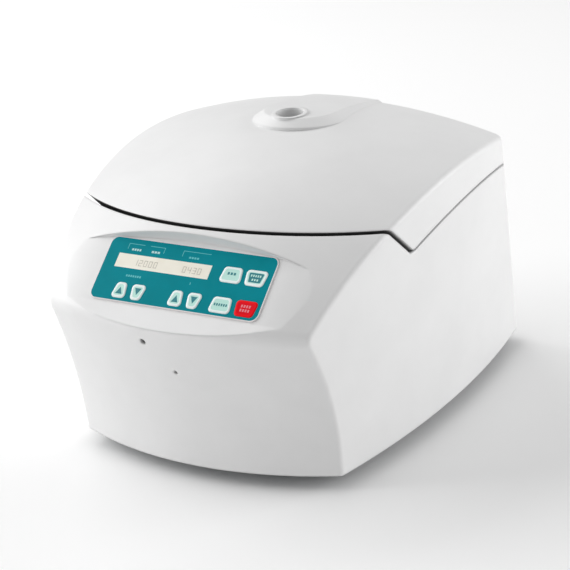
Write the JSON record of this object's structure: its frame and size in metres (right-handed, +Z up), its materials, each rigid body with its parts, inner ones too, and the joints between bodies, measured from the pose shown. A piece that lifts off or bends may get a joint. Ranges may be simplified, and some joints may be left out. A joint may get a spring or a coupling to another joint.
{
  "type": "hematocrit centrifuge",
  "caption": "Bench hematocrit centrifuge with a domed hinged lid, viewing port, sloping keypad, steel bowl and slotted disc rotor.",
  "frame": {"origin": "on the bench surface under the middle of the case's outline", "axes": "+X to the instrument's right as seen from the front, +Y to the back, +Z up"},
  "size_m": [0.2778, 0.3249, 0.2226],
  "materials": {
    "black_plastic": "moulded black plastic",
    "board_green": "coated circuit board",
    "brass": "plain brass",
    "clear_window": "clear window",
    "grey_plastic": "moulded light grey plastic",
    "key_mint": "pale mint key film",
    "key_red": "red key film",
    "rubber_black": "soft black rubber",
    "rubber_grey": "grey sealing rubber",
    "stainless": "drawn stainless steel",
    "teal_film": "printed teal film",
    "turned_aluminium": "turned and anodised aluminium",
    "white_paint": "fine-textured white enamel",
    "zinc_steel": "zinc-plated steel"
  },
  "bodies": {
    "housing": {"base_plate": "zinc_steel", "base_screws": "zinc_steel", "board_posts": "brass", "bowl": "stainless", "bowl_gasket": "rubber_grey", "bracket_screws": "zinc_steel", "case": "white_paint", "control_board": "board_green", "display_module": "grey_plastic", "display_window": "clear_window", "feet": "rubber_black", "foot_screws": "zinc_steel", "fuse_holder": "black_plastic", "hinge_brackets": "zinc_steel", "hinge_pins": "stainless", "inlet_pins": "brass", "key_switches": "black_plastic", "keypad_plate": "teal_film", "lock_case": "black_plastic", "lock_motor": "zinc_steel", "motor_bracket": "zinc_steel", "motor_case": "zinc_steel", "motor_mounts": "rubber_black", "motor_screws": "zinc_steel", "motor_stator": "brass", "power_board": "board_green", "power_inlet": "black_plastic", "power_parts": "black_plastic", "rating_plate": "turned_aluminium", "switch_frame": "black_plastic"},
    "lid": {"lid_shell": "white_paint", "lid_liner": "grey_plastic", "liner_screws": "zinc_steel", "lid_seal": "rubber_grey", "port_sleeve": "black_plastic", "port_window": "clear_window", "hinge_lugs": "zinc_steel", "lug_screws": "zinc_steel", "lid_hook": "zinc_steel"},
    "rotor_assembly": {"motor_shaft": "stainless", "armature": "zinc_steel", "rotor": "turned_aluminium", "rim_pad": "rubber_black"},
    "cover": {"rotor_cover": "turned_aluminium"},
    "cover_knob": {"knob": "turned_aluminium"},
    "bolt": {"lock_bolt": "zinc_steel"},
    "release": {"release_spindle": "zinc_steel"},
    "fuse_tray": {"fuse_drawer": "black_plastic"},
    "rocker": {"switch_rocker": "black_plastic"},
    "button_time_up": {"key_time_up": "key_mint"},
    "button_time_down": {"key_time_down": "key_mint"},
    "button_speed_up": {"key_speed_up": "key_mint"},
    "button_speed_down": {"key_speed_down": "key_mint"},
    "button_select": {"key_select": "key_mint"},
    "button_stop": {"key_stop": "key_red"},
    "button_force": {"key_force": "key_mint"},
    "button_start": {"key_start": "key_mint"}
  },
  "joints": [
    {"name": "lid_hinge", "type": "hinge", "parent": "housing", "child": "lid", "pos_m": [0, 0.138, 0.1635], "axis": [-1, 0, 0], "range_deg": [0, 75]},
    {"name": "rotor_spin", "type": "hinge", "parent": "housing", "child": "rotor_assembly", "pos_m": [0, 0.0395, 0.11], "axis": [0, 0, 1], "continuous": true},
    {"name": "cover_lift", "type": "slide", "parent": "rotor_assembly", "child": "cover", "axis": [0, 0, 1], "range_m": [0, 0.003]},
    {"name": "knob_turn", "type": "hinge", "parent": "cover", "child": "cover_knob", "pos_m": [0, 0.0395, 0.13], "axis": [0, 0, 1], "range_deg": [0, 720]},
    {"name": "bolt_slide", "type": "slide", "parent": "housing", "child": "bolt", "axis": [0, 1, 0], "range_m": [0, 0.008]},
    {"name": "release_turn", "type": "hinge", "parent": "housing", "child": "release", "pos_m": [-0.0165, -0.12, 0.117], "axis": [0, 1, 0], "range_deg": [0, 90]},
    {"name": "fuse_slide", "type": "slide", "parent": "housing", "child": "fuse_tray", "axis": [0, 0.9811, 0.1933], "range_m": [0, 0.016]},
    {"name": "rocker_tilt", "type": "hinge", "parent": "housing", "child": "rocker", "pos_m": [0.01, 0.15294, 0.0621], "axis": [0, -0.1933, 0.9811], "range_deg": [0, 16]},
    {"name": "press_time_up", "type": "slide", "parent": "housing", "child": "button_time_up", "axis": [0, 0.6246, -0.781], "range_m": [0, 0.0004], "stiffness_N_per_m": 1500},
    {"name": "press_time_down", "type": "slide", "parent": "housing", "child": "button_time_down", "axis": [0, 0.6246, -0.781], "range_m": [0, 0.0004], "stiffness_N_per_m": 1500},
    {"name": "press_speed_up", "type": "slide", "parent": "housing", "child": "button_speed_up", "axis": [0, 0.6246, -0.781], "range_m": [0, 0.0004], "stiffness_N_per_m": 1500},
    {"name": "press_speed_down", "type": "slide", "parent": "housing", "child": "button_speed_down", "axis": [0, 0.6246, -0.781], "range_m": [0, 0.0004], "stiffness_N_per_m": 1500},
    {"name": "press_select", "type": "slide", "parent": "housing", "child": "button_select", "axis": [0, 0.6246, -0.781], "range_m": [0, 0.0004], "stiffness_N_per_m": 1500},
    {"name": "press_stop", "type": "slide", "parent": "housing", "child": "button_stop", "axis": [0, 0.6246, -0.781], "range_m": [0, 0.0004], "stiffness_N_per_m": 1500},
    {"name": "press_force", "type": "slide", "parent": "housing", "child": "button_force", "axis": [0, 0.6246, -0.781], "range_m": [0, 0.0004], "stiffness_N_per_m": 1500},
    {"name": "press_start", "type": "slide", "parent": "housing", "child": "button_start", "axis": [0, 0.6246, -0.781], "range_m": [0, 0.0004], "stiffness_N_per_m": 1500}
  ],
  "couplings": [
    {"joint": "knob_turn", "follows": "cover_lift", "rad_per_m": 4188.8},
    {"joint": "release_turn", "follows": "bolt_slide", "rad_per_m": 196.35}
  ]
}
